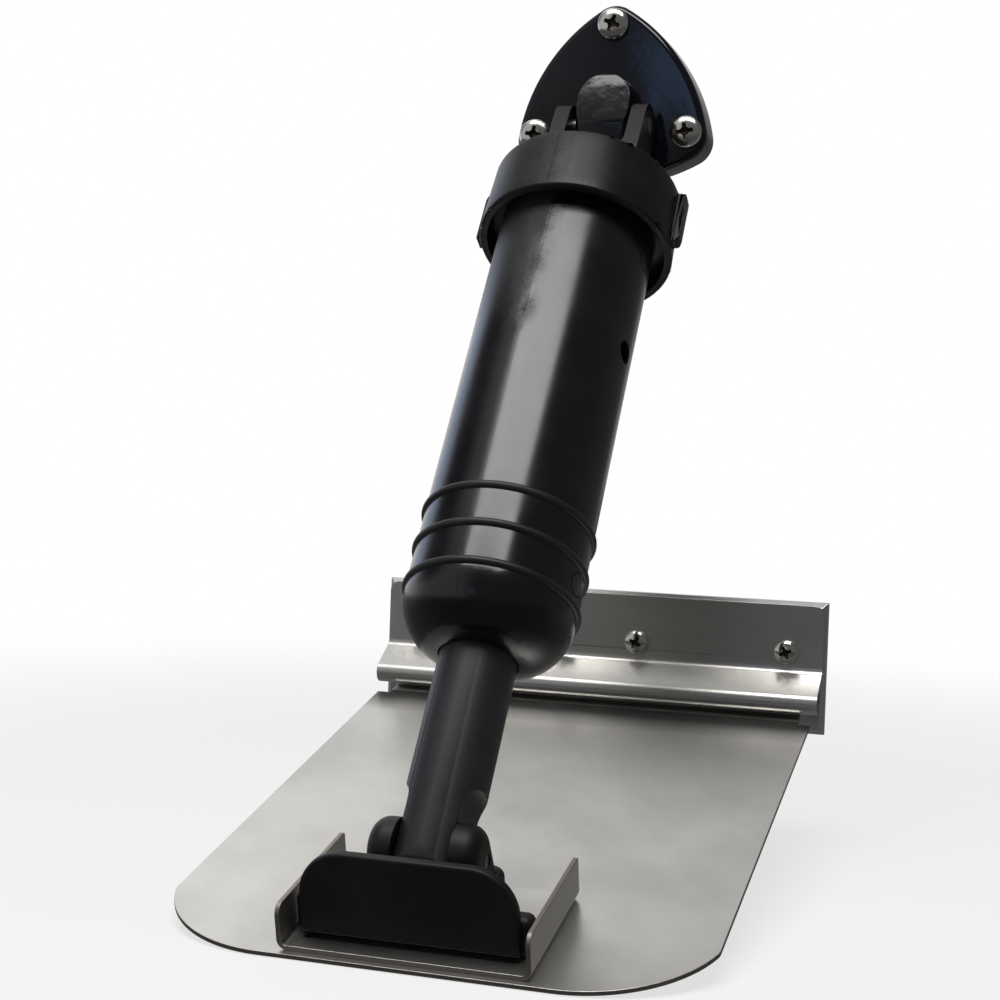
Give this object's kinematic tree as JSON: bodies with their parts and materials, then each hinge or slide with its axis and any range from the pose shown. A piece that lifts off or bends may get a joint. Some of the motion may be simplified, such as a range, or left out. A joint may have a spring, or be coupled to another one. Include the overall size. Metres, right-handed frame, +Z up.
{
  "type": "boat trim tab",
  "caption": "Self-levelling boat trim tab: hinged steel plate with a rolled-bead strap, held down by a spring-loaded plastic actuator between a transom mount and a clevis foot.",
  "frame": {"origin": "centre of the backing plate's rear face, on the transom plane", "axes": "+X along the hinge, +Y into the transom, +Z up; the tab reaches out towards -Y"},
  "size_m": [0.184, 0.2468, 0.331],
  "materials": {
    "backing_steel": "satin, bright bevelled edges",
    "sheet_steel": "rolled sheet, faint smudges",
    "screw_steel": "polished",
    "pin_steel": "ground",
    "spring_steel": "drawn wire",
    "mount_gloss": "glossy moulded nylon",
    "collar_moulding": "semi-gloss moulding",
    "cylinder_moulding": "semi-gloss moulding",
    "rod_moulding": "fine matt",
    "foot_moulding": "matt moulding",
    "bush_moulding": "natural acetal",
    "rubber": "matt"
  },
  "bodies": {
    "transom_side": {"hinge_backing_plate": "backing_steel", "hinge_strap": "sheet_steel", "hinge_screws": "screw_steel", "transom_mount": "mount_gloss", "mount_screws": "screw_steel", "upper_pin": "pin_steel"},
    "tab": {"trim_plate": "sheet_steel", "hinge_rod": "pin_steel", "foot_bracket": "sheet_steel", "actuator_foot": "foot_moulding", "foot_screws": "screw_steel", "foot_pin": "pin_steel"},
    "cylinder": {"cylinder_body": "cylinder_moulding", "cylinder_head": "cylinder_moulding", "head_seal": "rubber", "collar_nut": "collar_moulding", "upper_ring": "rubber", "middle_ring": "rubber", "lower_ring": "rubber", "rod_guide_bush": "bush_moulding", "rod_wiper": "rubber", "return_spring": "spring_steel"},
    "rod": {"actuator_rod": "rod_moulding", "piston": "bush_moulding", "piston_seal": "rubber", "piston_screw": "screw_steel", "piston_washer": "pin_steel"}
  },
  "joints": [
    {"name": "plate_hinge", "type": "hinge", "parent": "transom_side", "child": "tab", "pos_m": [0, -0.0142, -0.0123], "axis": [-1, 0, 0], "range_deg": [0, 14]},
    {"name": "upper_pivot", "type": "hinge", "parent": "transom_side", "child": "cylinder", "pos_m": [0, -0.025, 0.20974], "axis": [-1, 0, 0], "range_deg": [0, 5.82]},
    {"name": "rod_slide", "type": "slide", "parent": "cylinder", "child": "rod", "axis": [0, 0.5657, 0.8246], "range_m": [0, 0.0348], "stiffness_N_per_m": 800, "springref_m": -0.035, "deforming": ["return_spring"]}
  ],
  "couplings": [
    {"joint": "upper_pivot", "follows": "plate_hinge", "ratio": 0.4124},
    {"joint": "rod_slide", "follows": "plate_hinge", "m_per_rad": 0.14177}
  ]
}
